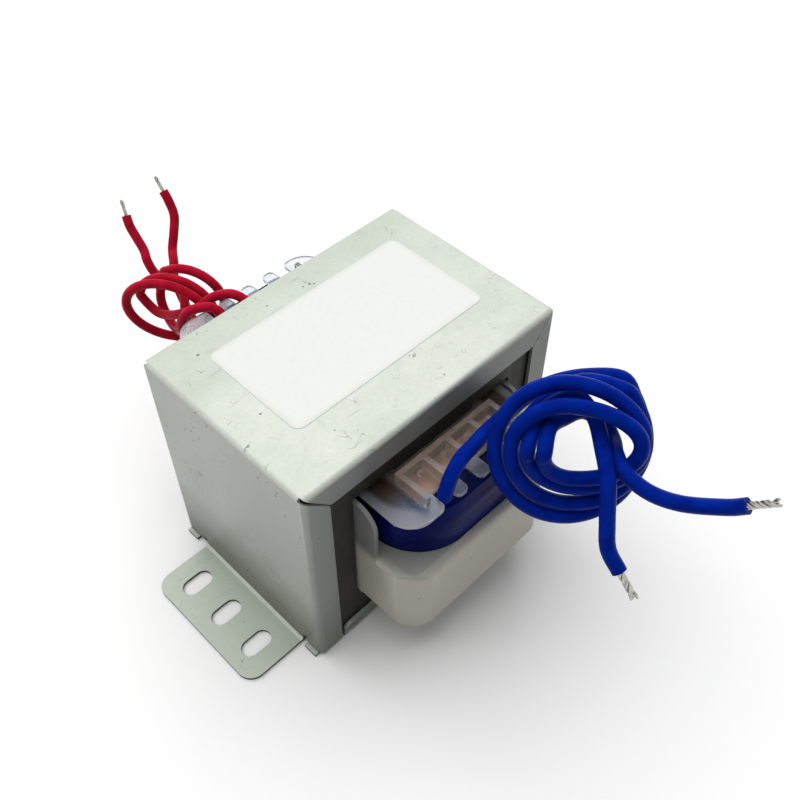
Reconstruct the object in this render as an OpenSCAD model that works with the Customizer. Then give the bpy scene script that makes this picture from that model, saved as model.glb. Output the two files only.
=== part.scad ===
// Laminated chassis transformer: an EI core held in a folded sheet frame with slotted feet,
// a moulded split bobbin with wire combs, two windings, two snap covers and four flying leads.
// Millimetres. Origin at the middle of the mounting face, Z up, feet along X, output leads at -Y.

/* [Core] */
// Width of the E lamination
core_w = 66; // [62:1:72]
// Width of the centre tongue; legs and yokes are half as wide
tongue_w = 22; // [20:1:24]
// Height of the winding window
window_h = 33; // [31:1:38]
// Thickness of the lamination stack
stack_d = 45; // [40:1:52]
// Thickness of one bundle of laminations, laid in alternately
bundle_t = 1.5; // [0.5:0.5:5]

/* [Frame] */
// Thickness of the frame and base sheet
sheet_t = 0.8; // [0.6:0.1:1.2]
// Clearance between sheet and core, beside what the inside of the folds takes
sheet_gap = 0.05; // [0.03:0.01:0.1]
// Inside radius of the folds
fold_in_r = 0.6; // [0.4:0.1:1]
// Height of the turned-down top lips
top_lip_h = 6.7; // [5:0.1:8]
// Width of the turned-in side lips
side_lip_w = 6.2; // [4:0.1:7]
// Width of the mitre slits where they meet the opening
mitre_gap = 0.4; // [0.2:0.1:0.8]
// Width of the mitre slits at the outer corners
mitre_mouth = 0.9; // [0.4:0.1:1.2]
// Radius of the lower corners of the top lips
lip_corner_r = 2.5; // [1:0.5:4]
// Reach of each foot beyond the side
foot_l = 15; // [13:0.5:20]
// Width of each foot
foot_w = 33.6; // [30:0.2:38]
// How far the feet sit forward of the middle
foot_forward = 1; // [0:0.5:2]
// Radius of the outer corners of a foot
foot_corner_r = 3.5; // [1:0.5:6]
// Inside radius of the bend between side and foot
foot_bend_r = 0.9; // [0.5:0.1:1.5]
// Height of the relief notches beside each foot
notch_h = 3; // [2.5:0.1:5]
// Width of the relief notches
notch_w = 1.1; // [0.6:0.1:2]
// Depth of the press dimple in the side
dimple_depth = 0.3; // [0.1:0.05:0.5]
// How far the dimple is in front of the middle
dimple_forward = 10; // [0:1:15]
// Height of the middle of the dimple
dimple_z = 20; // [12:1:40]

/* [Mounting slots] */
// Distance from the row of slots to the outer edge of the foot
slot_setback = 7; // [6:0.1:8]
// Distance between neighbouring slots of one foot
slot_pitch = 10.4; // [9:0.1:11]
// Slots in each foot
slot_count = 3; // [1:1:3]
// Length of a slot, end to end
slot_l = 7.2; // [5:0.1:9]
// Width of a slot
slot_w = 4; // [3:0.1:5]

/* [Base plate] */
// Height of the upturned front and rear lips
base_lip_h = 3.8; // [3:0.1:5]
// Radius of the upper lip corners
base_lip_r = 2.2; // [0.5:0.1:3]
// How far the corner ears stand out beyond the sides
ear_out = 0.9; // [0.2:0.1:2]
// Length of each ear along the side
ear_l = 3.5; // [2:0.5:5]

/* [Bobbin] */
// Wall of the bobbin tube
tube_wall = 1; // [0.8:0.1:1.5]
// Thickness of the flanges
flange_t = 0.9; // [0.7:0.1:1.2]
// Clearance between bobbin and core
bobbin_gap = 0.15; // [0.1:0.05:0.3]
// Height of the lower winding space
lower_space = 15.6; // [14:0.1:17]
// Free height above the upper flange in the window
top_slack = 0.8; // [0.5:0.1:1.5]
// How far the upper flange stays clear of the side flaps
top_flange_gap = 1.1; // [0.3:0.1:2]
// Reach of the upper flange in front of the core
front_reach = 13; // [12:0.5:14]
// Reach of the upper flange behind the core
rear_reach = 15.4; // [13:0.2:16]
// Gap between the frame and the back walls of the combs
comb_back_gap = 1.3; // [0.5:0.1:2]
// Distance between the comb walls
comb_pitch = 6.3; // [6:0.1:6.6]
// Number of wire chambers in a comb
comb_chambers = 4; // [3:1:5]
// Height of the comb walls
comb_h = 3; // [2:0.1:4]
// Thickness of the comb walls
comb_t = 1.1; // [0.8:0.1:1.4]
// Length of the comb partitions in front of the back wall
comb_l = 5.5; // [4:0.1:6]
// How much longer the end walls of a comb are than its partitions
comb_end_l = 1.7; // [0:0.1:2]
// Width of the lead slots in the upper flange
lead_slot_w = 3.2; // [3.1:0.1:3.6]
// Radius of the tabs between the lead slots
tab_r = 1.2; // [0.5:0.1:1.3]
// Outer corner radius of the upper flange
top_flange_r = 5.5; // [3:0.5:7]

/* [Windings] */
// How far the taped upper winding stays inside the sides of the upper flange
upper_wind_inset = 1.7; // [1:0.1:3]
// Reach of the taped upper winding beyond the core, front and rear
upper_wind_reach = 13.5; // [12:0.1:13.8]
// Outer corner radius of the upper winding
upper_wind_r = 12; // [9:0.5:12]
// How far the taped lower winding stays inside its flanges
lower_wind_inset = 0.4; // [0.2:0.1:2]
// Thickness of the tape wrap
tape_t = 0.4; // [0.2:0.1:0.8]

/* [Covers] */
// Wall of the covers
cover_t = 0.9; // [0.7:0.1:1]
// Clearance between a cover and the sides of the window
cover_side_gap = 0.4; // [0.2:0.1:0.6]
// Clearance between a cover and the bobbin inside it
cover_gap = 0.3; // [0.2:0.1:0.5]
// Reach of a cover beyond the core
cover_reach = 16; // [15.8:0.1:18]
// Outer radius of the cover's upright corners
cover_r = 8; // [6:0.5:10]
// Radius of the cover's front edges
cover_edge_r = 2; // [1.5:0.1:2.5]
// How far the cover hangs below the window
cover_drop = 1; // [0.5:0.1:1.5]
// Reach of the side flaps beyond the core
flap_reach = 5.5; // [4:0.5:7]
// Upper corner radius of the side flaps
flap_r = 5; // [2:0.5:5]

/* [Label] */
// Length of the label
label_l = 50; // [40:1:56]
// Width of the label
label_w = 26.5; // [20:0.5:32]
// Thickness of the label
label_t = 0.1; // [0.05:0.05:0.2]
// Corner radius of the label
label_r = 2; // [1:0.5:5]
// Offset of the label to the right of the middle
label_x = 0.8; // [-2:0.2:2]
// Offset of the label behind the middle
label_y = 2; // [-2:0.2:4]

/* [Leads] */
// Outer diameter of the blue output wires
blue_d = 3; // [2.8:0.1:3]
// Outer diameter of the red input wires
red_d = 2.2; // [2:0.1:2.4]
// Diameter of the twisted bare strands of a blue wire
blue_core_d = 1.5; // [1.2:0.1:1.8]
// Diameter of the twisted bare strands of a red wire
red_core_d = 0.9; // [0.7:0.1:1.2]
// Bared length of the blue wires
blue_bare_l = 6; // [5:0.5:10]
// Bared length of the red wires
red_bare_l = 4; // [3:0.5:6]

/* [Hidden] */
$fn = 48;

// core
yoke = tongue_w / 2;
window_w = (core_w - 2 * tongue_w) / 2;
core_h = window_h + 2 * yoke;
core_gap = ceil(100 * (sheet_gap + fold_in_r * (1 - sqrt(1 / 2)))) / 100;
core_z = sheet_t + core_gap;
window_z = core_z + yoke;
stack_y = stack_d / 2;
bundles = 2 * round(stack_d / bundle_t / 2);
bundle_d = stack_d / bundles;
// frame
frame_x = core_w / 2 + core_gap + sheet_t;
frame_y = stack_y + core_gap + sheet_t;
frame_top = core_z + core_h + core_gap + sheet_t;
fold_r = fold_in_r + sheet_t;
foot_x = frame_x + foot_l;
slot_x = foot_x - slot_setback;
// bobbin heights, from the bottom of the window upwards
tube_x = tongue_w / 2 + bobbin_gap + tube_wall;
tube_y = stack_y + bobbin_gap + tube_wall;
bobbin_z = window_z + bobbin_gap;
middle_z = bobbin_z + flange_t + lower_space;
bobbin_top = window_z + window_h - top_slack;
top_flange_z = bobbin_top - flange_t;
wind_gap = 0.1;
tube_r = 0.8;
// covers, and what fits inside them
cover_x = yoke + window_w - cover_side_gap;
cover_y = stack_y + cover_reach;
cover_z = window_z - cover_drop;
cover_inner_x = cover_x - cover_t;
cover_inner_y = cover_y - cover_t;
cover_inner_r = cover_r - cover_t;
ledge_z = middle_z + flange_t + wind_gap;
ledge_top = ledge_z + cover_t;
flap_top = bobbin_top - cover_gap;
flange_x = cover_inner_x - cover_gap;
flange_y = cover_inner_y - cover_gap;
flange_r = cover_inner_r - cover_gap;
top_flange_x = cover_inner_x - top_flange_gap;
top_flange_front = stack_y + front_reach;
top_flange_rear = stack_y + rear_reach;
// combs
comb_y = frame_y + comb_back_gap;
comb_slot_y = comb_y + comb_t + comb_l;
comb_half = comb_chambers / 2 * comb_pitch;
// windings
lower_x = flange_x - lower_wind_inset;
lower_y = flange_y - lower_wind_inset;
lower_r = flange_r - lower_wind_inset;
lower_z0 = bobbin_z + flange_t + wind_gap;
lower_z1 = middle_z - wind_gap;
upper_x = top_flange_x - upper_wind_inset;
upper_y = stack_y + upper_wind_reach;
upper_z0 = middle_z + flange_t + wind_gap;
upper_z1 = top_flange_z - wind_gap;

// ---- routes of the leads: points chosen by hand ----
// They are measured from the middle of the comb beside them, at the top of the upper flange.
front_comb = [0, -comb_y, bobbin_top];
rear_comb = [0, comb_y, bobbin_top];

// From there to the lead slot of a chamber, counted from the left.
function slot(chamber) =
    [chamber * comb_pitch - comb_half - (comb_t + lead_slot_w) / 2, 0, 0];

blue_lead_1_route = [
    for (p = [
        slot(1) + [-0.05, -8.67, -0.73], slot(1) + [-0.05, -8.67, 0.77], [-6.5, -8.17, 3.77],
        [-3.5, -7.67, 5.77], [0.5, -7.17, 5.77], [4, -8.67, 5.77], [7, -12.17, 6.27],
        [8, -15.67, 6.77]
    ]) front_comb + p
];
blue_lead_2_route = [
    for (p = [
        slot(4) + [0.05, -9.17, -0.73], slot(4) + [0.05, -9.17, 1.27],
        slot(4) + [1.05, -10.67, 5.77], [13, -13.17, 8.77], [14, -17.67, 13.27]
    ]) front_comb + p
];
blue_end_1_route = [
    for (p = [
        [12, -28.17, -1.23], [9.5, -30.67, 1.77], [6.5, -34.67, 2.77], [3.5, -37.17, 0.27],
        [3, -40.67, -2.73]
    ]) front_comb + p
];
blue_end_2_route = [
    for (p = [
        [18.5, -27.67, 5.77], [14.5, -30.67, 7.77], [13, -34.17, 8.77], [13, -37.17, 8.27],
        [15, -42.67, 8.27], [17.5, -49.17, 11.27], [18.5, -52.17, 13.77]
    ]) front_comb + p
];
red_lead_1_route = [
    for (p = [
        slot(1) + [-0.05, 8.67, -0.73], slot(1) + [-0.05, 8.67, 0.77], [-9.5, 12.67, 2.27],
        [-11, 17.17, 2.77], [-11.5, 20.67, 2.77], [-11, 24.17, 2.27]
    ]) rear_comb + p
];
red_lead_2_route = [
    for (p = [
        slot(2) + [0.15, 8.67, -0.73], slot(2) + [0.15, 8.67, 0.77], [-4, 12.67, 2.27],
        [-6, 17.17, 2.27], [-7.5, 21.17, 1.77], [-8.5, 24.67, 1.77]
    ]) rear_comb + p
];
red_end_1_route = [
    for (p = [
        [-11.5, 30.67, -1.23], [-10, 34.17, -2.23], [-8, 38.17, -2.73], [-6.5, 42.17, -2.23],
        [-6.5, 44.17, 0.27], [-6.5, 46.17, 2.77], [-6, 47.67, 4.77]
    ]) rear_comb + p
];
red_end_2_route = [
    for (p = [
        [-8.5, 28.67, -0.23], [-6, 32.17, -1.73], [-4, 34.67, -2.23], [-2, 36.67, -1.23],
        [0, 38.17, 1.27], [2, 39.67, 4.77], [2.5, 41.67, 7.77], [2.5, 43.17, 9.77]
    ]) rear_comb + p
];

// ---- plan and profile shapes ----

// A rectangle from corner a to corner b with round corners.
module round_rect(a, b, r) {
    translate([a[0] + r, a[1]])
        square([b[0] - a[0] - 2 * r, b[1] - a[1]]);
    translate([a[0], a[1] + r])
        square([b[0] - a[0], b[1] - a[1] - 2 * r]);
    for (x = [a[0] + r, b[0] - r], y = [a[1] + r, b[1] - r])
        translate([x, y])
            circle(r = r);
}

// Extrudes a profile drawn in X and Z along Y, from y0 to y1.
module along_y(y0, y1) {
    translate([0, y1, 0])
        rotate([90, 0, 0])
            linear_extrude(y1 - y0)
                children();
}

// Extrudes a profile drawn in Y and Z along X, from x0 to x1.
module along_x(x0, x1) {
    translate([x0, 0, 0])
        rotate([90, 0, 90])
            linear_extrude(x1 - x0)
                children();
}

// Both mirror images of a child across the plane normal to v.
module both(v) {
    children();
    mirror(v)
        children();
}

// ---- frame ----

// The folded box that the sheet wraps: round top folds and round upright folds.
module folded_block(inset, r) {
    x = frame_x - inset;
    y = frame_y - inset;
    top = frame_top - inset;
    intersection() {
        along_y(-y - 1, y + 1)
            round_rect([-x, -10], [x, top], r);
        along_x(-x - 1, x + 1)
            round_rect([-y, -10], [y, top], r);
        linear_extrude(top + 1)
            round_rect([-x, -y], [x, y], r);
    }
}

// Profile of the front and rear openings, with the mitre slits that run from their upper
// corners to the outer corners of the frame, and the round corners of the top lips.
module opening_profile() {
    x = frame_x - side_lip_w;
    z = frame_top - top_lip_h;
    slit_l = norm([side_lip_w, top_lip_h]);
    tangent = lip_corner_r * tan(22.5);
    translate([-x, -10])
        square([2 * x, z + 10]);
    both([1, 0])
        translate([x, z]) {
            rotate(atan2(top_lip_h, side_lip_w))
                polygon([
                    [-mitre_gap, -mitre_gap / 2], [slit_l, -mitre_mouth / 2],
                    [slit_l, mitre_mouth / 2], [-mitre_gap, mitre_gap / 2]
                ]);
            difference() {
                polygon([[-tangent, 0], [0, 0], [tangent, tangent] / sqrt(2)]);
                translate([-tangent, lip_corner_r])
                    circle(r = lip_corner_r);
            }
        }
}

module slot_outline() {
    for (i = [0:slot_count - 1])
        translate([slot_x, (i - (slot_count - 1) / 2) * slot_pitch]) {
            square([slot_l - slot_w, slot_w], center = true);
            for (side = [-1, 1])
                translate([side * (slot_l - slot_w) / 2, 0])
                    circle(d = slot_w);
        }
}

// One foot: the side sheet runs down, bends outwards and lies flat, with round outer corners.
module foot() {
    bend_x = frame_x + foot_bend_r;
    bend_z = sheet_t + foot_bend_r;
    intersection() {
        along_y(-foot_w / 2, foot_w / 2) {
            translate([frame_x - sheet_t, bend_z])
                square([sheet_t, notch_h + 1 - bend_z]);
            intersection() {
                difference() {
                    translate([bend_x, bend_z])
                        circle(r = foot_bend_r + sheet_t);
                    translate([bend_x, bend_z])
                        circle(r = foot_bend_r);
                }
                translate([bend_x - 10, bend_z - 10])
                    square(10);
            }
            translate([bend_x, 0])
                square([foot_x - bend_x, sheet_t]);
        }
        linear_extrude(notch_h + 2)
            difference() {
                round_rect([frame_x - 12, -foot_w / 2], [foot_x, foot_w / 2], foot_corner_r);
                slot_outline();
            }
    }
}

// Shallow oval mark pressed into the left side.
module dimple() {
    ball_r = 12;
    for (z = [-1.5, 1.5])
        translate([-frame_x - ball_r + dimple_depth, -dimple_forward, dimple_z + z])
            sphere(r = ball_r, $fn = 96);
    translate([-frame_x - ball_r + dimple_depth, -dimple_forward, dimple_z])
        cylinder(r = ball_r, h = 3, center = true, $fn = 96);
}

module frame_shell() {
    side_clear = foot_w + 2 * notch_w;
    color("lightsteelblue")
        difference() {
            union() {
                difference() {
                    folded_block(0, fold_r);
                    folded_block(sheet_t, fold_in_r);
                    // open bottom above the base plate
                    translate([-frame_x - 1, -frame_y - 1, -1])
                        cube([2 * frame_x + 2, 2 * frame_y + 2, core_z + 1]);
                    // front and rear openings between the lips
                    both([0, 1, 0])
                        along_y(-frame_y - 1, -frame_y + fold_r)
                            opening_profile();
                    // the sides are cut away beside each foot
                    translate([-frame_x - 1, -side_clear / 2 - foot_forward, -1])
                        cube([2 * frame_x + 2, side_clear, notch_h + 1]);
                }
                translate([0, -foot_forward, 0])
                    both([1, 0, 0])
                        foot();
            }
            dimple();
        }
}

// ---- base plate ----

module base_plate() {
    lip_x = frame_x - side_lip_w - 0.6;
    plate_x = frame_x - sheet_t - core_gap;
    color("silver") {
        intersection() {
            along_x(-lip_x - 1, lip_x + 1)
                difference() {
                    round_rect([-frame_y, 0], [frame_y, core_h], fold_r);
                    round_rect(
                        [-frame_y + sheet_t, sheet_t], [frame_y - sheet_t, 2 * core_h], fold_in_r
                    );
                    translate([-frame_y - 1, base_lip_h])
                        square([2 * frame_y + 2, core_h]);
                }
            along_y(-frame_y - 1, frame_y + 1)
                round_rect([-lip_x, -10], [lip_x, base_lip_h], base_lip_r);
        }
        translate([-plate_x, -stack_y, 0])
            cube([2 * plate_x, 2 * stack_y, sheet_t]);
        both([0, 1, 0])
            translate([-frame_x - ear_out, stack_y - ear_l, 0])
                cube([2 * (frame_x + ear_out), ear_l, sheet_t]);
    }
}

// ---- core ----

// E lamination, back down and legs up, standing on z = 0.
module e_outline() {
    half = core_w / 2;
    difference() {
        translate([-half, 0])
            square([core_w, core_h - yoke]);
        for (side = [-1, 1])
            translate([side * (yoke + window_w / 2), yoke + window_h / 2 + 1])
                square([window_w, window_h + 2], center = true);
    }
}

module i_outline() {
    translate([-core_w / 2, 0])
        square([core_w, yoke]);
}

// Every second bundle of the stack, starting at bundle number first.
module stack(first) {
    for (i = [first:2:bundles - 1])
        along_y(-stack_y + i * bundle_d, -stack_y + (i + 1) * bundle_d)
            children();
}

module e_laminations_up() {
    color("dimgray")
        translate([0, 0, core_z])
            stack(0)
                e_outline();
}

module e_laminations_down() {
    color("dimgray")
        translate([0, 0, core_z])
            stack(1)
                translate([0, core_h])
                    mirror([0, 1])
                        e_outline();
}

module i_laminations_top() {
    color("gray")
        translate([0, 0, core_z + core_h - yoke])
            stack(0)
                i_outline();
}

module i_laminations_bottom() {
    color("gray")
        translate([0, 0, core_z])
            stack(1)
                i_outline();
}

// ---- bobbin ----

// Upper flange in plan. Each comb chamber has a slot for its lead, open to the edge, and the
// tabs that are left between the slots have round corners.
module top_flange_outline() {
    translate([-top_flange_x, -comb_slot_y])
        square([2 * top_flange_x, 2 * comb_slot_y]);
    intersection() {
        round_rect(
            [-top_flange_x, -top_flange_front], [top_flange_x, top_flange_rear], top_flange_r);
        for (i = [0:comb_chambers]) {
            wall_x = -comb_half + i * comb_pitch - comb_t / 2;
            start = i == 0 ? -top_flange_x - tab_r : wall_x;
            end = i == comb_chambers ? top_flange_x + tab_r : wall_x + comb_pitch - lead_slot_w;
            round_rect([start, -top_flange_front], [end, top_flange_rear], tab_r);
        }
    }
}

// Comb on the upper flange: a back wall, end walls and partitions that keep the leads apart.
module comb() {
    sink = 0.1;
    peg_d = 1;
    peg_h = 1.3;
    translate([-comb_half - comb_t / 2, comb_y, bobbin_top - sink])
        cube([2 * comb_half + comb_t, comb_t, comb_h + sink]);
    for (i = [0:comb_chambers]) {
        l = comb_l + (i == 0 || i == comb_chambers ? comb_end_l : 0);
        translate([-comb_half + i * comb_pitch - comb_t / 2, comb_y, bobbin_top - sink])
            cube([comb_t, comb_t + l, comb_h + sink]);
    }
    // a low peg in each chamber, round which the winding end is turned
    for (i = [1:comb_chambers])
        translate([
            -comb_half + i * comb_pitch - comb_t - peg_d, comb_y + comb_t + peg_d, bobbin_top - sink
        ])
            cylinder(d = peg_d, h = peg_h + sink, $fn = 24);
}

module bobbin() {
    color("whitesmoke")
        difference() {
            union() {
                translate([0, 0, bobbin_z])
                    linear_extrude(bobbin_top - bobbin_z)
                        round_rect([-tube_x, -tube_y], [tube_x, tube_y], tube_r);
                for (z = [bobbin_z, middle_z])
                    translate([0, 0, z])
                        linear_extrude(flange_t)
                            round_rect([-flange_x, -flange_y], [flange_x, flange_y], flange_r);
                translate([0, 0, top_flange_z])
                    linear_extrude(flange_t)
                        top_flange_outline();
                both([0, 1, 0])
                    comb();
            }
            translate([0, 0, window_z + window_h / 2])
                cube([tongue_w + 2 * bobbin_gap, stack_d + 2 * bobbin_gap, window_h + 2], center = true);
        }
}

// ---- windings ----

// A layer round the tube, from its inner to its outer outline. Outlines are [x, y, radius].
module layer(outer, inner, z0, z1) {
    translate([0, 0, z0])
        linear_extrude(z1 - z0)
            difference() {
                round_rect([-outer[0], -outer[1]], [outer[0], outer[1]], outer[2]);
                round_rect([-inner[0], -inner[1]], [inner[0], inner[1]], inner[2]);
            }
}

tube_outline = [tube_x + wind_gap, tube_y + wind_gap, tube_r];
lower_outline = [lower_x, lower_y, lower_r];
upper_outline = [upper_x, upper_y, upper_wind_r];
tape = [tape_t, tape_t, tape_t];

module primary_winding() {
    color("peru")
        layer(lower_outline - tape, tube_outline, lower_z0, lower_z1);
}

module primary_tape() {
    color("khaki")
        layer(lower_outline, lower_outline - tape, lower_z0, lower_z1);
}

module secondary_winding() {
    color("peru")
        layer(upper_outline - tape, tube_outline, upper_z0, upper_z1);
}

module secondary_tape() {
    color("midnightblue")
        layer(upper_outline, upper_outline - tape, upper_z0, upper_z1);
}

// ---- covers ----

// Front cover: a trough with round corners over the lower winding, a ledge on top that fits
// round the upper winding, and two thin side flaps that slide into the window.
module cover() {
    split_gap = 0.2;
    difference() {
        intersection() {
            translate([0, 0, cover_z])
                linear_extrude(ledge_top - cover_z)
                    round_rect([-cover_x, -cover_y], [cover_x, 20], cover_r);
            along_x(-cover_x, cover_x)
                round_rect([-cover_y, cover_z], [20, ledge_top], cover_edge_r);
            along_y(-cover_y, -stack_y - core_gap)
                round_rect([-cover_x, cover_z], [cover_x, ledge_top], cover_edge_r);
        }
        // room for the lower winding, open towards the core
        translate([0, 0, cover_z + cover_t])
            linear_extrude(ledge_z - cover_z - cover_t)
                round_rect([-cover_inner_x, -cover_inner_y], [cover_inner_x, 20], cover_inner_r);
        // cut-out of the ledge
        translate([0, 0, ledge_z - 1])
            linear_extrude(cover_t + 2)
                round_rect(
                    [-upper_x - cover_gap, -upper_y - cover_gap],
                    [upper_x + cover_gap, 20], upper_wind_r + cover_gap);
    }
    both([1, 0, 0])
        along_x(cover_inner_x, cover_x) {
            // the part that stands out in front of the core
            intersection() {
                round_rect([-stack_y - flap_reach, 0], [20, flap_top], flap_r);
                translate([-stack_y - flap_reach, cover_z + cover_edge_r])
                    square([flap_reach - core_gap, window_h]);
            }
            // the part inside the window
            translate([-stack_y - 1, window_z + bobbin_gap])
                square([stack_y + 1 - split_gap, flap_top - window_z - bobbin_gap]);
        }
}

module cover_front() {
    color("ivory")
        cover();
}

module cover_rear() {
    color("ivory")
        mirror([0, 1, 0])
            cover();
}

// ---- label ----

module label() {
    color("white")
        translate([label_x, label_y, frame_top])
            linear_extrude(label_t)
                round_rect([-label_l / 2, -label_w / 2], [label_l / 2, label_w / 2], label_r);
}

// ---- leads ----

function unit(v) = v / norm(v);

function tangents(p) = [
    for (i = [0:len(p) - 1]) unit(p[min(i + 1, len(p) - 1)] - p[max(i - 1, 0)])
];

// A vector square to each tangent, carried along the route so that the tube doesn't twist.
function side_vectors(t, v, i = 0) =
    i == len(t) ? [] :
    let (u = unit(v - (v * t[i]) * t[i]))
        concat([u], side_vectors(t, u, i + 1));

// A round tube with 8 sides along a route, as one polyhedron.
module tube(route, d) {
    sides = 8;
    n = len(route);
    t = tangents(route);
    u = side_vectors(t, [0.6, -0.7, 0.4]);
    points = [
        for (i = [0:n - 1], k = [0:sides - 1])
            let (w = cross(t[i], u[i]), a = 360 * k / sides)
                route[i] + d / 2 * (cos(a) * u[i] + sin(a) * w)
    ];
    walls = [
        for (i = [0:n - 2], k = [0:sides - 1])
            let (a = i * sides + k, b = i * sides + (k + 1) % sides)
                each [[a, a + sides, b], [b, a + sides, b + sides]]
    ];
    first_cap = [[for (k = [0:sides - 1]) k]];
    last_cap = [[for (k = [0:sides - 1]) (n - 1) * sides + sides - 1 - k]];
    polyhedron(points, concat(walls, first_cap, last_cap));
}

// The bare strands that stand out of the end of a route.
module bare_end(route, d, l) {
    n = len(route);
    tip = route[n - 1];
    dir = unit(tip - route[n - 2]);
    translate(tip)
        rotate([0, acos(dir[2]), atan2(dir[1], dir[0])])
            cylinder(d = d, h = l, $fn = 16);
}

// A closed ring of the outer shape of a coil of turns, its axis turned and tilted.
module coil(centre, azimuth, elevation, inner_r, outer_r, height) {
    corner = 1;
    translate(centre)
        rotate([90 - elevation, 0, azimuth])
            rotate_extrude($fn = 64)
                round_rect([inner_r, -height / 2], [outer_r, height / 2], corner);
}

module blue_coil() {
    color("mediumblue")
        coil(front_comb + [12, -22.67, 6.27], -45, 27, 6, 15, 8);
}

module red_coil() {
    color("crimson")
        coil(rear_comb + [-10.5, 24.67, -5.73], -44, 15, 4.6, 10.6, 9);
}

// The part of a wire outside its coil: the route runs a little way into the ring.
module blue_tube(route) {
    color("mediumblue")
        difference() {
            tube(route, blue_d);
            blue_coil();
        }
}

module red_tube(route) {
    color("crimson")
        difference() {
            tube(route, red_d);
            red_coil();
        }
}

module blue_lead_1() {
    blue_tube(blue_lead_1_route);
}

module blue_lead_2() {
    blue_tube(blue_lead_2_route);
}

module blue_end_1() {
    blue_tube(blue_end_1_route);
}

module blue_end_2() {
    blue_tube(blue_end_2_route);
}

module red_lead_1() {
    red_tube(red_lead_1_route);
}

module red_lead_2() {
    red_tube(red_lead_2_route);
}

module red_end_1() {
    red_tube(red_end_1_route);
}

module red_end_2() {
    red_tube(red_end_2_route);
}

module blue_bare_ends() {
    color("gainsboro") {
        bare_end(blue_end_1_route, blue_core_d, blue_bare_l);
        bare_end(blue_end_2_route, blue_core_d, blue_bare_l);
    }
}

module red_bare_ends() {
    color("gainsboro") {
        bare_end(red_end_1_route, red_core_d, red_bare_l);
        bare_end(red_end_2_route, red_core_d, red_bare_l);
    }
}

frame_shell();
base_plate();
e_laminations_up();
e_laminations_down();
i_laminations_top();
i_laminations_bottom();
bobbin();
primary_winding();
primary_tape();
secondary_winding();
secondary_tape();
cover_front();
cover_rear();
label();
blue_lead_1();
blue_lead_2();
blue_coil();
blue_end_1();
blue_end_2();
blue_bare_ends();
red_lead_1();
red_lead_2();
red_coil();
red_end_1();
red_end_2();
red_bare_ends();
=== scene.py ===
import math

import bmesh
import bpy
from mathutils import Matrix, Vector, noise


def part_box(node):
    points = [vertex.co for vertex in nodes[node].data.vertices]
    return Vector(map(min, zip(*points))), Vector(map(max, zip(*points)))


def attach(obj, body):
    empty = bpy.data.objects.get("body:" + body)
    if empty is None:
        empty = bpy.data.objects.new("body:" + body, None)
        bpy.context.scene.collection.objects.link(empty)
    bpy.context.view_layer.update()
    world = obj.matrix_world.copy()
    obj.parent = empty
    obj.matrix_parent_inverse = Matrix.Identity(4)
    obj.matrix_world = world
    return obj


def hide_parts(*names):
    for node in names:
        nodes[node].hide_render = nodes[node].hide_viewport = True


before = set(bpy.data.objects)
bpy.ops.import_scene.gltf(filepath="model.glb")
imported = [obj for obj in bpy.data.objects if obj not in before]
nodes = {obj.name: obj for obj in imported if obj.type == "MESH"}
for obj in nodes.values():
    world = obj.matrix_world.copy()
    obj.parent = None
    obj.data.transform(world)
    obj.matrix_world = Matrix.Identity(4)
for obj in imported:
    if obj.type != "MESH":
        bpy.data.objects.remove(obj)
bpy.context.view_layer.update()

MM = 0.001
WINDING_R = 12 * MM  # radius of the upright corners of the upper winding and its tape


def tilted_axes(turn, height):
    """Three square axes: to the right, up, and outwards at so many degrees round and above the
    horizon."""
    turn, height = math.radians(turn), math.radians(height)
    right = Vector((math.cos(turn), math.sin(turn), 0))
    level = math.cos(height)
    outwards = Vector((math.sin(turn) * level, -math.cos(turn) * level, math.sin(height)))
    return right, outwards.cross(right), outwards


def new_object(name, data):
    made = bpy.data.objects.new(name, data)
    bpy.context.scene.collection.objects.link(made)
    return made


# ---- camera ----

def place_camera():
    camera = new_object("camera", bpy.data.cameras.new("camera"))
    camera.matrix_world = Matrix.LocRotScale(
        Vector((-0.0869, -0.1005, 0.1896)), Matrix(tilted_axes(-44.8, 49)).transposed(), None)
    camera.data.lens = 42.8
    camera.data.sensor_width = 36
    camera.data.clip_start = 0.01
    bpy.context.scene.camera = camera


place_camera()


# ---- colour and shader helpers ----

def linear(code):
    """An sRGB hex colour as linear light."""
    parts = [int(code[i:i + 2], 16) / 255 for i in (1, 3, 5)]
    return (*(c / 12.92 if c <= 0.04045 else ((c + 0.055) / 1.055) ** 2.4 for c in parts), 1.0)


def per(mm):
    """How many repeats of a pattern go into a metre when one is this many millimetres."""
    return 1000 / mm


def span(first, last, to_first=0.0, to_last=1.0):
    """The two ends of a range, and what they become."""
    return {"From Min": first, "From Max": last, "To Min": to_first, "To Max": to_last}


def add(material, kind, links=(), **settings):
    """Adds a shader node, with its settings, values and links from other nodes."""
    made = material.node_tree.nodes.new("ShaderNode" + kind)
    for name, value in settings.items():
        setattr(made, name, value)
    for socket, value in dict(links).items():
        if isinstance(value, bpy.types.NodeSocket):
            material.node_tree.links.new(value, made.inputs[socket])
        else:
            made.inputs[socket].default_value = value
    return made


def start(name, **values):
    """A material with its Principled shader. Values that are the same all over go on the
    shader's own sockets."""
    material = bpy.data.materials.new(name)
    material.use_nodes = True
    shader = material.node_tree.nodes["Principled BSDF"]
    for socket, value in values.items():
        shader.inputs[socket.replace("_", " ")].default_value = value
    return material, shader


def wire_up(material, output, socket):
    material.node_tree.links.new(output, socket)


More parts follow.
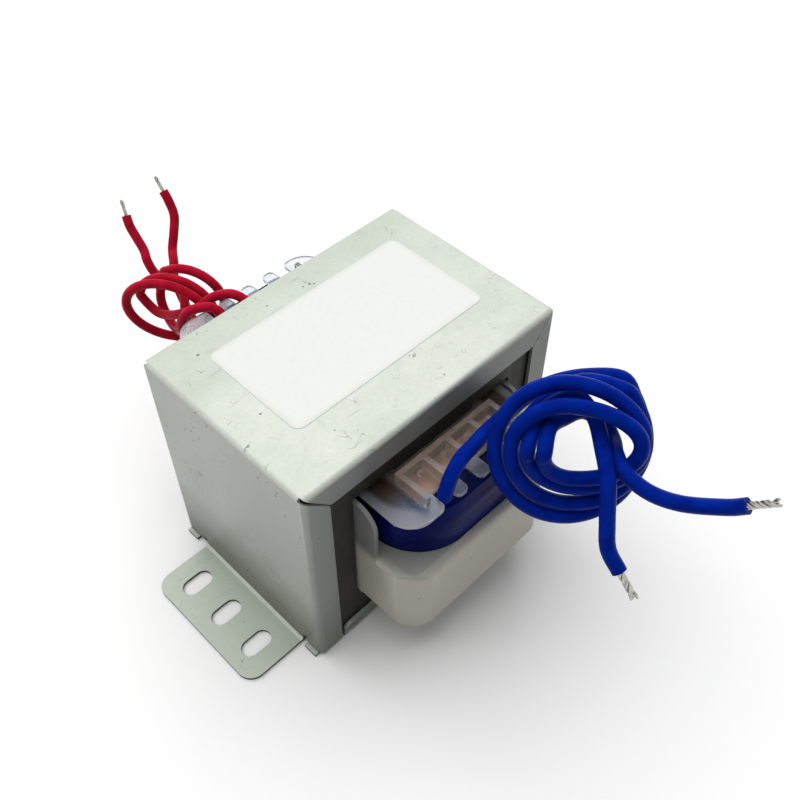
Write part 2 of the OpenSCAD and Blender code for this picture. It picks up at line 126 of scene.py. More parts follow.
def surface(m, shader, colour, pattern, rough, over=(0.3, 0.7), relief=None, strength=0, depth=0):
    """Gives a shader its colour, a roughness that goes from rough[0] to rough[1] as a pattern
    goes over a range, and a fine relief."""
    wire_up(m, colour, shader.inputs["Base Color"])
    roughness = add(m, "MapRange", {"Value": pattern, **span(*over, *rough)})
    wire_up(m, roughness.outputs[0], shader.inputs["Roughness"])
    if relief:
        bump = add(m, "Bump", {"Height": relief, "Strength": strength, "Distance": depth})
        wire_up(m, bump.outputs[0], shader.inputs["Normal"])
    return m


def past_outline(m, place, name):
    """How far past the outline of a node, seen from above, a place is: below 0 inside it."""
    low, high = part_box(name)
    from_middle = add(m, "VectorMath", {0: place, 1: tuple((low + high) / 2)}, operation="SUBTRACT")
    mirrored = add(m, "VectorMath", {0: from_middle.outputs[0]}, operation="ABSOLUTE")
    half = tuple((high - low) / 2)
    past = add(m, "VectorMath", {0: mirrored.outputs[0], 1: half}, operation="SUBTRACT")
    xyz = add(m, "SeparateXYZ", {0: past.outputs[0]})
    further = add(m, "Math", {0: xyz.outputs["X"], 1: xyz.outputs["Y"]}, operation="MAXIMUM")
    return further.outputs[0]


# ---- materials ----

def zinc_plated_steel():
    """Electro-galvanised cold-rolled sheet: pale, slightly greenish and half matt, with cloudy
    patches from the bath, small dark pits, thin scratches and scuffs. Shade is painted into the
    colour: the upright faces are darker than the top, and the lips more so towards the right."""
    m, shader = start("zinc_plated_steel", Metallic=0.35)
    place = add(m, "TexCoord").outputs["Object"]
    xyz = add(m, "SeparateXYZ", {0: place})
    facing = add(m, "SeparateXYZ", {0: add(m, "NewGeometry").outputs["Normal"]})
    cloud = add(m, "TexNoise", {"Vector": place, "Scale": per(16), "Detail": 4.0, "Roughness": 0.6})
    grain = add(m, "TexNoise", {"Vector": place, "Scale": per(0.8), "Detail": 3.0,
                                "Roughness": 0.7})
    tone = add(m, "MapRange", {"Value": cloud.outputs["Fac"], **span(0.35, 0.68)})
    clean = add(m, "Mix", {"Factor": tone.outputs[0], 6: linear("#D3DACE"), 7: linear("#E4EADF")},
                data_type="RGBA")
    # painted shade: the lips darker towards the right, a painted shadow of the blue coil and
    # painted dark reflection
    to_right = add(m, "MapRange", {"Value": xyz.outputs["X"], **span(-34 * MM, 34 * MM)})
    shaded_lips = add(m, "Mix", {"Factor": to_right.outputs[0], 6: linear("#8D908E"),
                          7: linear("#676A67")}, data_type="RGBA")
    # painted shade: the upright faces darker than the top
    on_lips = add(m, "Math", {0: facing.outputs["Y"]}, operation="ABSOLUTE")
    dull = add(m, "Mix", {"Factor": on_lips.outputs[0], 6: linear("#B4B7B1"), 7: shaded_lips.outputs[2]},
               data_type="RGBA")
    # painted shade: darker towards the back of the top, and on the feet
    at_back = add(m, "MapRange", {"Value": xyz.outputs["Y"], **span(4 * MM, 28 * MM, 0.0, 0.55)})
    on_feet = add(m, "MapRange", {"Value": xyz.outputs["Z"], **span(3 * MM, 8 * MM, 0.8, 0.0)})
    top_and_feet_shade = add(m, "Math", {0: at_back.outputs[0], 1: on_feet.outputs[0]}, operation="MAXIMUM")
    shaded_top = add(m, "Mix", {"Factor": top_and_feet_shade.outputs[0], 6: clean.outputs[2], 7: linear("#BCC6B8")},
               data_type="RGBA")
    # painted shade: the top keeps the light colour, the upright faces get the shaded ones
    shaded_by_facing = add(m, "Mix", {"Factor": facing.outputs["Z"], 6: dull.outputs[2], 7: shaded_top.outputs[2]},
                 data_type="RGBA")
    # painted shade above the feet: the upright faces darker towards the bottom, in patches
    upright = add(m, "Math", {0: facing.outputs["Z"], 1: 0.5}, operation="LESS_THAN")
    low_down = add(m, "MapRange", {"Value": xyz.outputs["Z"], **span(2 * MM, 22 * MM, 0.85, 0.0)})
    low_shade = add(m, "Math", {0: low_down.outputs[0], 1: upright.outputs[0]}, operation="MULTIPLY")
    patchy_low_shade = add(m, "Math", {0: low_shade.outputs[0], 1: cloud.outputs["Fac"], 2: low_shade.outputs[0]},
                 operation="MULTIPLY_ADD")
    shaded_low = add(m, "Mix", {"Factor": patchy_low_shade.outputs[0], 6: shaded_by_facing.outputs[2], 7: linear("#74766E")},
                data_type="RGBA")
    # the thin upright sides of the base plate are painted dark: partly painted shade on the edges
    # and in the slots, partly darker cut steel
    at_plate = add(m, "Math", {0: xyz.outputs["Z"], 1: 1.15 * MM}, operation="LESS_THAN")
    cut = add(m, "Math", {0: at_plate.outputs[0], 1: upright.outputs[0]}, operation="MULTIPLY")
    shaded_dark_cut_sides = add(m, "Mix", {"Factor": cut.outputs[0], 6: shaded_low.outputs[2], 7: linear("#34362F")},
               data_type="RGBA")
    fine = add(m, "MapRange", {"Value": grain.outputs["Fac"], **span(0.3, 0.75, 0.0, 0.16)})
    grained = add(m, "Mix", {"Factor": fine.outputs[0], 6: shaded_dark_cut_sides.outputs[2], 7: linear("#98A096")},
                  data_type="RGBA")
    # scuffs: soft strokes 5 to 10 mm long
    strokes = add(m, "Mapping", {"Vector": place, "Rotation": (0, 0, 0.6), "Scale": (1, 6, 6)})
    scuffs = add(m, "TexNoise", {"Vector": strokes.outputs[0], "Scale": per(9), "Detail": 5.0,
                                 "Roughness": 0.75})
    scuffed_by = add(m, "MapRange", {"Value": scuffs.outputs["Fac"], **span(0.6, 0.74, 0.0, 0.5)})
    scuffed = add(m, "Mix", {"Factor": scuffed_by.outputs[0], 6: grained.outputs[2],
                             7: linear("#8C928A")}, data_type="RGBA")
    # scratches: short thin curls, drawn 0.15 mm wide so that they show
    curls = add(m, "TexNoise", {"Vector": place, "Scale": per(4.5), "Detail": 1.0,
                                "Distortion": 1.2})
    from_line = add(m, "Math", {0: curls.outputs["Fac"], 1: 0.5, 2: 0.006}, operation="COMPARE")
    broken = add(m, "TexNoise", {"Vector": place, "Scale": per(3.5), "Detail": 3.0})
    pieces = add(m, "MapRange", {"Value": broken.outputs["Fac"], **span(0.58, 0.64, 0.0, 0.7)})
    scratched_by = add(m, "Math", {0: from_line.outputs[0], 1: pieces.outputs[0]},
                       operation="MULTIPLY")
    scratched = add(m, "Mix", {"Factor": scratched_by.outputs[0], 6: scuffed.outputs[2],
                               7: linear("#767B73")}, data_type="RGBA")
    # pits: ragged, drawn 0.3 to 0.6 mm across, coarser than most real ones, in loose groups
    ragged = add(m, "TexNoise", {"Vector": place, "Scale": per(0.5), "Detail": 1.0})
    pushed = add(m, "VectorMath", {0: ragged.outputs["Color"], 1: (0.7 * MM,) * 3, 2: place},
                 operation="MULTIPLY_ADD")
    pits = add(m, "TexVoronoi", {"Vector": pushed.outputs[0], "Scale": per(2.2)})
    group = add(m, "TexNoise", {"Vector": place, "Scale": per(12), "Detail": 3.0})
    reach = add(m, "MapRange", {"Value": group.outputs["Fac"], **span(0.5, 0.68, 0.0, 0.17)})
    deep = add(m, "Math", {0: reach.outputs[0], 1: pits.outputs["Distance"]}, operation="SUBTRACT")
    pitted_by = add(m, "MapRange", {"Value": deep.outputs[0], **span(0.0, 0.03, 0.0, 0.8)})
    pitted = add(m, "Mix", {"Factor": pitted_by.outputs[0], 6: scratched.outputs[2],
                            7: linear("#4A4E47")}, data_type="RGBA")
    marks = add(m, "Math", {0: pitted_by.outputs[0], 1: scratched_by.outputs[0]}, operation="ADD")
    relief = add(m, "Math", {0: marks.outputs[0], 1: -2.0, 2: grain.outputs["Fac"]},
                 operation="MULTIPLY_ADD")
    return surface(m, shader, pitted.outputs[2], cloud.outputs["Fac"], (0.34, 0.46),
                   relief=relief.outputs[0], strength=0.4, depth=0.06 * MM)


def worn_steel_edge():
    """Cut and rubbed edges of the plated sheet, where bare bright steel shows."""
    m, shader = start("worn_steel_edge", Metallic=0.8)
    place = add(m, "TexCoord").outputs["Object"]
    rubbed = add(m, "TexNoise", {"Vector": place, "Scale": per(2.5), "Detail": 4.0,
                                 "Roughness": 0.7})
    base = add(m, "Mix", {"Factor": rubbed.outputs["Fac"], 6: linear("#9EA29D"),
                          7: linear("#E6E8E4")}, data_type="RGBA")
    return surface(m, shader, base.outputs[2], rubbed.outputs["Fac"], (0.25, 0.45), over=(0, 1))


def varnished_electrical_steel():
    """Silicon steel sheet dipped in varnish: nearly black brown, with faint streaks where
    the varnish ran down, and a dull sheen."""
    m, shader = start("varnished_electrical_steel", Metallic=0.2, Specular_IOR_Level=0.3)
    place = add(m, "TexCoord").outputs["Object"]
    runs = add(m, "Mapping", {"Vector": place, "Scale": (1, 1, 0.06)})
    streaks = add(m, "TexNoise", {"Vector": runs.outputs[0], "Scale": per(1.6), "Detail": 4.0,
                                  "Roughness": 0.6})
    patches = add(m, "TexNoise", {"Vector": place, "Scale": per(11), "Detail": 3.0})
    both = add(m, "Math", {0: streaks.outputs["Fac"], 1: patches.outputs["Fac"]},
               operation="MULTIPLY")
    tone = add(m, "MapRange", {"Value": both.outputs[0], **span(0.12, 0.42)})
    base = add(m, "Mix", {"Factor": tone.outputs[0], 6: linear("#0C0B09"), 7: linear("#302D28")},
               data_type="RGBA")
    return surface(m, shader, base.outputs[2], streaks.outputs["Fac"], (0.45, 0.65),
                   relief=streaks.outputs["Fac"], strength=0.3, depth=0.1 * MM)


def milky_nylon():
    """Unfilled nylon 66 moulding, thin and milky: light goes through it, so that the copper
    and the tape behind it show."""
    m, shader = start("milky_nylon", IOR=1.53, Transmission_Weight=0.92, Specular_IOR_Level=0.35)
    place = add(m, "TexCoord").outputs["Object"]
    mirrored = add(m, "VectorMath", {0: place}, operation="ABSOLUTE")
    xyz = add(m, "SeparateXYZ", {0: mirrored.outputs[0]})
    flow = add(m, "TexNoise", {"Vector": place, "Scale": per(7), "Detail": 3.0, "Distortion": 0.4})
    comb = add(m, "Mix", {"Factor": flow.outputs["Fac"], 6: linear("#E6D9C6"),
                          7: linear("#F8F3EA")}, data_type="RGBA")
    # past the comb are clear tabs
    past_comb = add(m, "MapRange", {"Value": xyz.outputs["Y"], **span(31.2 * MM, 31.8 * MM)})
    tabs = add(m, "Mix", {"Factor": past_comb.outputs[0], 6: comb.outputs[2], 7: linear("#E4ECF4")},
               data_type="RGBA")
    # the ends of the flange lie on brown copper close to the core and on blue tape in front of
    # it, and are clear past the rounded outline of the winding
    over_tape = add(m, "MapRange", {"Value": xyz.outputs["Y"], **span(26 * MM, 31.5 * MM)})
    wound = add(m, "Mix", {"Factor": over_tape.outputs[0], 6: linear("#8A6A58"),
                           7: linear("#86A6DE")}, data_type="RGBA")
    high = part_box("secondary_winding")[1]
    round_from = (high.x - WINDING_R, high.y - WINDING_R, 1.0)
    past = add(m, "VectorMath", {0: mirrored.outputs[0], 1: round_from}, operation="SUBTRACT")
    round_part = add(m, "VectorMath", {0: past.outputs[0], 1: (0, 0, 0)}, operation="MAXIMUM")
    from_centre = add(m, "VectorMath", {0: round_part.outputs[0]}, operation="LENGTH")
    clear_by = add(m, "MapRange", {"Value": from_centre.outputs["Value"],
                                   **span(WINDING_R, WINDING_R + 1 * MM)})
    ends = add(m, "Mix", {"Factor": clear_by.outputs[0], 6: wound.outputs[2], 7: linear("#EEF2F6")},
               data_type="RGBA")
    at_ends = add(m, "MapRange", {"Value": xyz.outputs["X"], **span(12.8 * MM, 14.2 * MM)})
    base = add(m, "Mix", {"Factor": at_ends.outputs[0], 6: tabs.outputs[2], 7: ends.outputs[2]},
               data_type="RGBA")
    skin = add(m, "TexNoise", {"Vector": place, "Scale": per(0.5), "Detail": 2.0})
    return surface(m, shader, base.outputs[2], flow.outputs["Fac"], (0.25, 0.42),
                   relief=skin.outputs["Fac"], strength=0.2, depth=0.03 * MM)


def milky_nylon_rim():
    """The rounded rims of the same moulding, whiter than its walls because the light that
    runs inside the nylon comes out there."""
    m, shader = start("milky_nylon_rim", IOR=1.53, Specular_IOR_Level=0.4)
    place = add(m, "TexCoord").outputs["Object"]
    flow = add(m, "TexNoise", {"Vector": place, "Scale": per(3), "Detail": 3.0})
    base = add(m, "Mix", {"Factor": flow.outputs["Fac"], 6: linear("#E9E8E4"),
                          7: linear("#FBFBFA")}, data_type="RGBA")
    return surface(m, shader, base.outputs[2], flow.outputs["Fac"], (0.3, 0.45), over=(0, 1))


def cream_nylon():
    """Moulded nylon cover, cream and satin, faintly cloudy, thin enough to look greyish where
    something dark is behind it, with a few specks of dirt."""
    m, shader = start("cream_nylon", IOR=1.53, Transmission_Weight=0.42, Subsurface_Weight=0.2,
                      Subsurface_Radius=(1.0, 0.85, 0.6), Subsurface_Scale=2 * MM)
    place = add(m, "TexCoord").outputs["Object"]
    xyz = add(m, "SeparateXYZ", {0: place})
    cloud = add(m, "TexNoise", {"Vector": place, "Scale": per(13), "Detail": 3.0})
    base = add(m, "Mix", {"Factor": cloud.outputs["Fac"], 6: linear("#DDD9CB"),
                          7: linear("#ECE9DE")}, data_type="RGBA")
    # above the ledge the walls are thinner and the dark core shows through
    thin = add(m, "MapRange", {"Value": xyz.outputs["Z"], **span(29 * MM, 31.2 * MM, 0.0, 0.85)})
    thinned = add(m, "Mix", {"Factor": thin.outputs[0], 6: base.outputs[2], 7: linear("#868A8C")},
                  data_type="RGBA")
    specks = add(m, "TexVoronoi", {"Vector": place, "Scale": per(4.5)})
    near = add(m, "MapRange", {"Value": specks.outputs["Distance"], **span(0.03, 0.07, 0.8, 0.0)})
    dirty = add(m, "Mix", {"Factor": near.outputs[0], 6: thinned.outputs[2], 7: linear("#5F5A4C")},
                data_type="RGBA")
    skin = add(m, "TexNoise", {"Vector": place, "Scale": per(0.6), "Detail": 2.0})
    return surface(m, shader, dirty.outputs[2], cloud.outputs["Fac"], (0.36, 0.5),
                   relief=skin.outputs["Fac"], strength=0.25, depth=0.03 * MM)


def enamelled_copper():
    """Enamelled round copper wire, 0.8 mm, laid side by side: dark brown copper under a clear
    lacquer, ribbed along each turn. The dark brown is partly painted shade over the winding's
    top, and the colour going dark to light across each turn is painted shade between the turns."""
    m, shader = start("enamelled_copper", Metallic=0.7)
    place = add(m, "TexCoord").outputs["Object"]
    # one band of the wave is 1 / (20 x scale) wide
    turns = add(m, "TexWave", {"Vector": place, "Scale": per(0.8) / 20, "Distortion": 0.4},
                wave_type="BANDS", bands_direction="Z")
    # painted shade: dark in the grooves between turns, lighter on their crowns, and darker overall
    # for the shade over the winding's top
    copper = add(m, "Mix", {"Factor": turns.outputs["Fac"], 6: linear("#4A2410"),
                            7: linear("#9A5A34")}, data_type="RGBA")
    # the outer turns are under the blue tape, which laps 5 mm over them
    taped_by = add(m, "MapRange", {"Value": past_outline(m, place, "secondary_winding"),
                                   **span(-5.5 * MM, -4.5 * MM)})
    base = add(m, "Mix", {"Factor": taped_by.outputs[0], 6: copper.outputs[2],
                          7: linear("#0A1450")}, data_type="RGBA")
    return surface(m, shader, base.outputs[2], turns.outputs["Fac"], (0.5, 0.34), over=(0, 1),
                   relief=turns.outputs["Fac"], strength=0.6, depth=0.2 * MM)


def blue_polyester_tape():
    """Dark blue polyester film tape over a winding: glossy and smooth, with the turns below
    pressing through as faint ribs and a few soft wrinkles along it."""
    m, shader = start("blue_polyester_tape", IOR=1.45, Specular_IOR_Level=0.05,
                      Specular_Tint=linear("#5C74D8"))
    place = add(m, "TexCoord").outputs["Object"]
    along = add(m, "Mapping", {"Vector": place, "Scale": (0.25, 0.25, 1)})
    ribs = add(m, "TexNoise", {"Vector": along.outputs[0], "Scale": per(1.4), "Detail": 2.0})
    dye = add(m, "TexNoise", {"Vector": place, "Scale": per(9), "Detail": 2.0})
    base = add(m, "Mix", {"Factor": dye.outputs["Fac"], 6: linear("#02073A"), 7: linear("#08166A")},
               data_type="RGBA")
    return surface(m, shader, base.outputs[2], dye.outputs["Fac"], (0.22, 0.36),
                   relief=ribs.outputs["Fac"], strength=0.35, depth=0.25 * MM)


def clear_polyester_tape():
    """Thin amber polyester film over the lower winding, hidden in the covers: shiny, with the
    copper below tinting it."""
    m, shader = start("clear_polyester_tape", IOR=1.6)
    place = add(m, "TexCoord").outputs["Object"]
    film = add(m, "TexNoise", {"Vector": place, "Scale": per(5), "Detail": 3.0})
    base = add(m, "Mix", {"Factor": film.outputs["Fac"], 6: linear("#8A6230"),
                          7: linear("#B88A4C")}, data_type="RGBA")
    return surface(m, shader, base.outputs[2], film.outputs["Fac"], (0.15, 0.35), over=(0, 1))


def coated_label_paper():
    """White coated label stock, left bare: a faint fibre grain, slightly yellower and rubbed
    towards its cut edge."""
    m, shader = start("coated_label_paper", IOR=1.5, Specular_IOR_Level=0.3)
    place = add(m, "TexCoord").outputs["Object"]
    fibres = add(m, "TexNoise", {"Vector": place, "Scale": per(1.2), "Detail": 4.0})
    paper = add(m, "Mix", {"Factor": fibres.outputs["Fac"], 6: linear("#E8EAE6"),
                           7: linear("#F0F2EE")}, data_type="RGBA")
    handled = add(m, "TexNoise", {"Vector": place, "Scale": per(18), "Detail": 2.0})
    near_edge = add(m, "MapRange", {"Value": past_outline(m, place, "label"),
                                    **span(-1.2 * MM, 0.0, 0.0, 0.5)})
    rubbed_by = add(m, "Math", {0: near_edge.outputs[0], 1: handled.outputs["Fac"]},
                    operation="MULTIPLY")
    rubbed = add(m, "Mix", {"Factor": rubbed_by.outputs[0], 6: paper.outputs[2],
                            7: linear("#C9CBC2")}, data_type="RGBA")
    return surface(m, shader, rubbed.outputs[2], fibres.outputs["Fac"], (0.42, 0.58), over=(0, 1),
                   relief=fibres.outputs["Fac"], strength=0.15, depth=0.02 * MM)


def pvc(name, deep, bright):
    """Soft extruded PVC insulation: saturated and satin, with slow waves along it from the
    strands below and a light bloom of handling."""
    m, shader = start(name, IOR=1.54, Specular_IOR_Level=0.1, Specular_Tint=linear(bright))
    place = add(m, "TexCoord").outputs["Object"]
    waves = add(m, "TexNoise", {"Vector": place, "Scale": per(3.5), "Detail": 2.0})
    bloom = add(m, "TexNoise", {"Vector": place, "Scale": per(0.7), "Detail": 3.0})
    base = add(m, "Mix", {"Factor": waves.outputs["Fac"], 6: linear(deep), 7: linear(bright)},
               data_type="RGBA")
    return surface(m, shader, base.outputs[2], bloom.outputs["Fac"], (0.34, 0.5),
                   relief=waves.outputs["Fac"], strength=0.25, depth=0.2 * MM)


def tinned_copper():
    """Tin-dipped copper strands, twisted by hand: bright silvery metal with dull patches."""
    m, shader = start("tinned_copper", Metallic=1.0)
    place = add(m, "TexCoord").outputs["Object"]
    dull = add(m, "TexNoise", {"Vector": place, "Scale": per(0.6), "Detail": 3.0})
    base = add(m, "Mix", {"Factor": dull.outputs["Fac"], 6: linear("#8F8B83"),
                          7: linear("#D6D4CE")}, data_type="RGBA")
    return surface(m, shader, base.outputs[2], dull.outputs["Fac"], (0.2, 0.42))


ZINC = zinc_plated_steel()
STEEL_EDGE = worn_steel_edge()
CORE = varnished_electrical_steel()
NYLON = milky_nylon()
NYLON_RIM = milky_nylon_rim()
CREAM = cream_nylon()
COPPER = enamelled_copper()
BLUE_TAPE = blue_polyester_tape()
CLEAR_TAPE = clear_polyester_tape()
LABEL = coated_label_paper()
BLUE_PVC = pvc("blue_pvc", "#020F5E", "#0630AC")
RED_PVC = pvc("red_pvc", "#860616", "#DA2242")
TINNED = tinned_copper()


# ---- wires: two of each colour, coiled together ----

TURN_POINTS = 24  # points in one turn of a coil


def smooth(points, steps=6):
    """A smooth line through the points."""
    p = [2 * points[0] - points[1], *points, 2 * points[-1] - points[-2]]
    line = []
    for a, b, c, d in zip(p, p[1:], p[2:], p[3:]):
        for i in range(steps):
            t = i / steps
            line.append(0.5 * (2 * b + (c - a) * t + (2 * a - 5 * b + 4 * c - d) * t * t
                               + (3 * b - a - 3 * c + d) * t ** 3))
    return line + [points[-1]]


def coil_frame(centre, turn, height):
    """A function from a coil's own x, y and height to a point, its axis turned and tilted."""
    x_axis, y_axis, axis = tilted_axes(turn, height)
    return lambda x, y, h: (Vector(centre) + x * x_axis + y * y_axis + h * axis) * MM


BLUE_AT = coil_frame((13, -45, 51.5), -45, 49)
RED_AT = coil_frame((-14, 49, 38), -46, 9)


def blue_turns(wire, first, last):
    """Turns of a blue wire, winding inwards and towards the front. Wire 1 lies one place
    inside wire 0."""
    points = []
    for i in range(round(TURN_POINTS * first), round(TURN_POINTS * last) + 1):
        place = 2 * i / TURN_POINTS - 0.75 + wire
        angle = math.radians(90 - i * 360 / TURN_POINTS)
        lean = math.radians(min(45, max(0, 18 * place)))
        r = 15 - 2.3 * place
        right = max(0, math.cos(angle))
        x = -1.2 + 0.45 * place + r * math.cos(angle) + 0.11 * place * r * right
        y = 0.2 - 0.5 * place + r * math.sin(angle) * math.cos(lean)
        h = -1.6 + 2.0 * place + place * right + 4 * math.sin(angle)
        points.append(BLUE_AT(x, y, h))
    return points


def red_turns(wire, first, last):
    """Turns of a red wire, wider than high: each ring lies in front of the one before and a
    little to the left."""
    points = []
    for i in range(first, last + 1):
        behind = 2 - 2 * i / TURN_POINTS - wire
        angle = math.radians(90 - i * 360 / TURN_POINTS)
        r = 8.3 - 0.4 * behind
        x = 0.6 + 1.22 * r * math.cos(angle) - 0.18 * r * math.sin(angle)
        x += 0.9 * behind + 0.6 * behind ** 2
        points.append(RED_AT(x, 1.03 * r * math.sin(angle), -2.4 * behind - 0.7 * behind ** 2))
    return points


def route(points):
    return [Vector(p) * MM for p in points]


BLUE_1 = smooth(
    route([(-8.5, -33.5, 43.5), (-8.5, -33.5, 45), (-6.5, -33, 48), (-3.5, -32.5, 50),
           (0.5, -32, 50), (5, -31.5, 50), (11.5, -31.5, 50.5), (16, -32.5, 52.5),
           (20.5, -34.5, 54), (24, -39, 56.5)])
    + blue_turns(0, 0.125, 1.75)
    + route([(9.5, -39, 56), (14, -39.5, 57.5), (17.5, -42, 58), (17, -46.5, 56), (13, -51.5, 55),
             (9, -56, 53.5), (5.5, -59.5, 48.5), (3.5, -62, 44.5), (3, -65.5, 41.5)]))
BLUE_2 = smooth(
    route([(10.5, -34, 43.5), (10.5, -34, 45.5), (11.5, -35.5, 51), (15.5, -37, 55.5),
           (20.5, -40.5, 59)])
    + blue_turns(1, 0.125, 1.75)
    + route([(9.5, -42, 56), (14, -42, 55), (18.5, -43, 54), (20.5, -46.5, 52), (19, -50, 51.5),
             (15.5, -53, 53), (12.5, -57, 54), (13, -62, 52.5), (15, -67.5, 52.5),
             (17.5, -74, 55.5), (18.5, -77, 58)]))
RED_1 = smooth(
    route([(-8.5, 33.5, 43.5), (-8.5, 33.5, 45), (-9.5, 36.5, 46), (-12.5, 40, 44.5), (-14, 42, 41),
           (-14, 43, 37.5), (-13, 46.5, 34.5), (-12, 51.5, 33), (-10.5, 56.5, 36)])
    + red_turns(0, -3, 33)
    + route([(-8, 43.5, 28), (-6.5, 49, 27.5), (-5, 56, 31.5), (-4.5, 60.5, 36.5), (-7, 62.5, 37.5),
             (-7.5, 64.5, 40.5), (-6.5, 67, 42), (-6.5, 69, 44.5), (-6.5, 71, 47), (-6, 72.5, 49)]))
RED_2 = smooth(
    route([(-2, 33.5, 43.5), (-2, 33.5, 45), (-3.5, 36.5, 46), (-6.5, 39.5, 45), (-10, 41, 43),
           (-12.5, 44, 41), (-13.5, 48, 38.5), (-14, 53, 36.5)])
    + red_turns(1, -5, 7)
    + route([(-9, 45, 33), (-8.5, 50, 33.5), (-6, 53.5, 36), (-5.5, 57, 36.5), (-5, 58, 39),
             (-4, 58.5, 42), (-2, 61.5, 43), (0, 63, 45.5), (2, 64.5, 49), (2.5, 66.5, 52),
             (2.5, 68, 54)]))


def lay_tubes(name, lines, diameter, material):
    """One object of round tubes, one along each line."""
    data = bpy.data.curves.new(name, "CURVE")
    data.dimensions = "3D"
    data.bevel_depth = diameter / 2
    data.bevel_resolution = 5
    data.use_fill_caps = True
    for line in lines:
        spline = data.splines.new("POLY")
        spline.points.add(len(line) - 1)
        for point, place in zip(spline.points, line):
            point.co = (*place, 1)
    tube = new_object(name, data)
    data.materials.append(material)
    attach(tube, "root")
    return tube


def bare_strands(name, line, diameter, length):
    """Six strands twisted round a seventh, standing out of a wire's end and a little ragged."""
    tip = line[-1]
    along = (line[-1] - line[-3]).normalized()
    side = along.cross(Vector((0, 0, 1))).normalized()
    other = along.cross(side)
    strand = diameter / 3
    inside = 0.5 * MM  # how far the strands start within the insulation
    lay = 8 * MM / 1.7  # length of one twist
    tubes = []
    for i in range(7):
        reach = length * (0.90 + 0.10 * math.sin(2.4 * i + 1))
        r = 0 if i == 6 else strand * 0.95
        path = []
        for j in range(25):
            t = j / 24
            angle = math.tau * (i / 6 + t * length / lay)
            open_by = 1 + 0.45 * max(0, t - 0.7) / 0.3 * (0.5 + 0.5 * math.sin(3 * i))
            path.append(tip + along * (t * (reach + inside) - inside)
                        + (side * math.cos(angle) + other * math.sin(angle)) * r * open_by)
        tubes.append(path)
    return lay_tubes(name, tubes, strand, TINNED)


blue_strands_1 = bare_strands("blue_strands_1", BLUE_1, 1.5 * MM, 5.8 * MM)
blue_strands_2 = bare_strands("blue_strands_2", BLUE_2, 1.5 * MM, 5.8 * MM)
red_strands_1 = bare_strands("red_strands_1", RED_1, 0.9 * MM, 3.8 * MM)
red_strands_2 = bare_strands("red_strands_2", RED_2, 0.9 * MM, 3.8 * MM)
blue_wire_1 = lay_tubes("blue_wire_1", [BLUE_1], 3 * MM, BLUE_PVC)
blue_wire_2 = lay_tubes("blue_wire_2", [BLUE_2], 3 * MM, BLUE_PVC)
red_wire_1 = lay_tubes("red_wire_1", [RED_1], 2.2 * MM, RED_PVC)
red_wire_2 = lay_tubes("red_wire_2", [RED_2], 2.2 * MM, RED_PVC)
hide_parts("blue_lead_1", "blue_coil", "blue_end_1")
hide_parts("blue_lead_2", "blue_coil", "blue_end_2")
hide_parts("red_lead_1", "red_coil", "red_end_1")
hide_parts("red_lead_2", "red_coil", "red_end_2")
for strands in (blue_strands_1, blue_strands_2):
    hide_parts("blue_bare_ends")
for strands in (red_strands_1, red_strands_2):
    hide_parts("red_bare_ends")


# ---- tape over the upper winding ----

def tape_outline(low, high):
    """Points and outward directions round the upper winding, close together all the way."""
    r = WINDING_R
    corners = ((high.x - r, low.y + r, -90), (high.x - r, high.y - r, 0),
               (low.x + r, high.y - r, 90), (low.x + r, low.y + r, 180))
    bends = []
    for x, y, first in corners:
        for i in range(19):
            angle = math.radians(first + 5 * i)
            n = Vector((math.cos(angle), math.sin(angle), 0))
            bends.append((Vector((x + r * n.x, y + r * n.y, 0)), n))
    outline = []
    for (p, n), (q, k) in zip(bends, bends[1:] + bends[:1]):
        gap = max(1, round((q - p).length / (1.5 * MM)))
        outline += [(p.lerp(q, j / gap), n.lerp(k, j / gap).normalized()) for j in range(gap)]
    return outline


def wrap_tape():
    """A closed band that follows the upper winding, swelling by half a millimetre half way up,
    with soft wrinkles where it goes round the front and rear."""
    low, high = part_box("secondary_tape")
    outline = tape_outline(low, high)
    thick, swell_by, crease_by, rows = 0.4 * MM, 0.55 * MM, 0.22 * MM, 18
    bm = bmesh.new()
    rings = []
    for inner in (False, True):
        for row in range(rows + 1):
            t = 1 - row / rows if inner else row / rows
            z = low.z + t * (high.z - low.z)
            bulge = 4 * t * (1 - t)
            ring = []
            for p, n in outline:
                # held flat by the core along the sides, free at the front and rear
                free = min(1, max(0, (abs(p.y) - 20 * MM) / (10 * MM)))
                crease = noise.noise(Vector((p.x * 55, p.y * 55, z * 420)))
                out = (swell_by + crease_by * crease) * bulge * free - (thick if inner else 0)
                ring.append(bm.verts.new((p.x + n.x * out, p.y + n.y * out, z)))
            rings.append(ring)
    for ring, following in zip(rings, rings[1:] + rings[:1]):
        for i in range(len(outline)):
            j = (i + 1) % len(outline)
            bm.faces.new((ring[i], ring[j], following[j], following[i]))
    bmesh.ops.recalc_face_normals(bm, faces=bm.faces)
    data = bpy.data.meshes.new("tape_wrap")
    bm.to_mesh(data)
    bm.free()
    data.shade_smooth()
    data.set_sharp_from_angle(angle=math.radians(50))
    data.materials.append(BLUE_TAPE)
    wrap = new_object("tape_wrap", data)
    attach(wrap, "root")
    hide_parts("secondary_tape")


wrap_tape()


# ---- finishes of the parts that keep their shape ----

FINISHES = {
    "frame_shell": ZINC, "base_plate": ZINC,
    "e_laminations_up": CORE, "e_laminations_down": CORE,
    "i_laminations_top": CORE, "i_laminations_bottom": CORE,
    "bobbin": NYLON, "cover_front": CREAM, "cover_rear": CREAM,
    "primary_winding": COPPER, "secondary_winding": COPPER, "primary_tape": CLEAR_TAPE,
    "label": LABEL,
}
# rounded edges: their material, and their width in millimetres
EDGES = {
    "frame_shell": (STEEL_EDGE, 0.12), "base_plate": (STEEL_EDGE, 0.12), "bobbin": (NYLON_RIM, 0.4),
    "cover_front": (NYLON_RIM, 0.18), "cover_rear": (NYLON_RIM, 0.18),
}


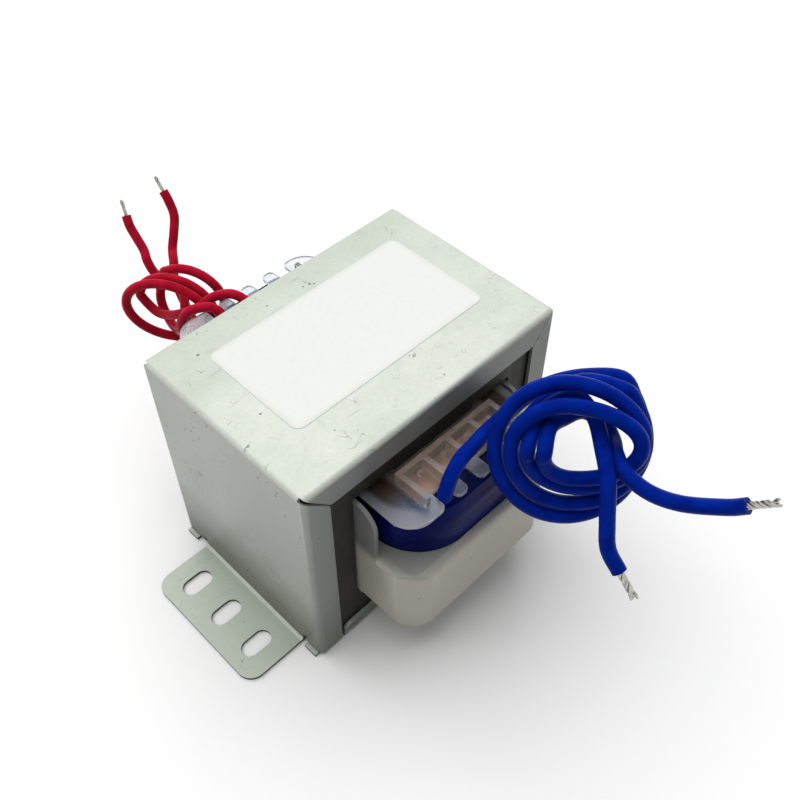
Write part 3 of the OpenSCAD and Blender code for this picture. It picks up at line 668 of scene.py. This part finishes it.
def round_edges(node, rim, width):
    """Rounds the sharp edges, once the triangles of the flat faces are joined up."""
    node.data.materials.append(rim)
    weld = node.modifiers.new("weld", "WELD")
    weld.merge_threshold = 0.01 * MM
    flats = node.modifiers.new("flats", "DECIMATE")
    flats.decimate_type = "DISSOLVE"
    flats.angle_limit = math.radians(1)
    edge = node.modifiers.new("edge", "BEVEL")
    edge.width = width * MM
    edge.segments = 2
    edge.limit_method = "ANGLE"
    edge.angle_limit = math.radians(40)
    edge.material = 1


for name, material in FINISHES.items():
    nodes[name].data.materials.clear()
    nodes[name].data.materials.append(material)
    if name in EDGES:
        round_edges(nodes[name], *EDGES[name])


# ---- floor, light and background ----

def white_to_the_eye(material):
    """1 where a camera, mirror or glass looks straight at it, 0 for the light it gives."""
    ray = add(material, "LightPath").outputs
    eye = add(material, "Math", {0: ray["Is Camera Ray"], 1: ray["Is Glossy Ray"]},
              operation="MAXIMUM")
    seen = add(material, "Math", {0: eye.outputs[0], 1: ray["Is Transmission Ray"]},
               operation="MAXIMUM")
    return seen.outputs[0]


def lay_floor():
    data = bpy.data.meshes.new("floor")
    data.from_pydata([(-3, -3, 0), (3, -3, 0), (3, 3, 0), (-3, 3, 0)], [], [(0, 1, 2, 3)])
    m, shader = start("floor_paper", Roughness=0.9, Specular_IOR_Level=0.0)
    colour = add(m, "Mix", {"Factor": white_to_the_eye(m), 6: linear("#B4B4B4"),
                            7: linear("#FFFFFF")}, data_type="RGBA")
    wire_up(m, colour.outputs[2], shader.inputs["Base Color"])
    data.materials.append(m)
    new_object("floor", data)


def light_room():
    world = bpy.data.worlds.new("room")
    world.use_nodes = True
    bpy.context.scene.world = world
    background = world.node_tree.nodes["Background"]
    strength = add(world, "Mix", {"Factor": white_to_the_eye(world), 2: 0.36, 3: 1.0})
    background.inputs["Color"].default_value = (1, 1, 1, 1)
    wire_up(world, strength.outputs[0], background.inputs["Strength"])
    # a wide soft light, high up and behind
    lamp = bpy.data.lights.new("soft_key", "SUN")
    lamp.energy = 2.35
    lamp.angle = math.radians(75)
    key = new_object("soft_key", lamp)
    key.visible_glossy = False
    key.rotation_euler = Vector((0.08, 0.36, 0.93)).to_track_quat("Z", "Y").to_euler()


lay_floor()
light_room()
bpy.context.scene.view_settings.view_transform = "Standard"
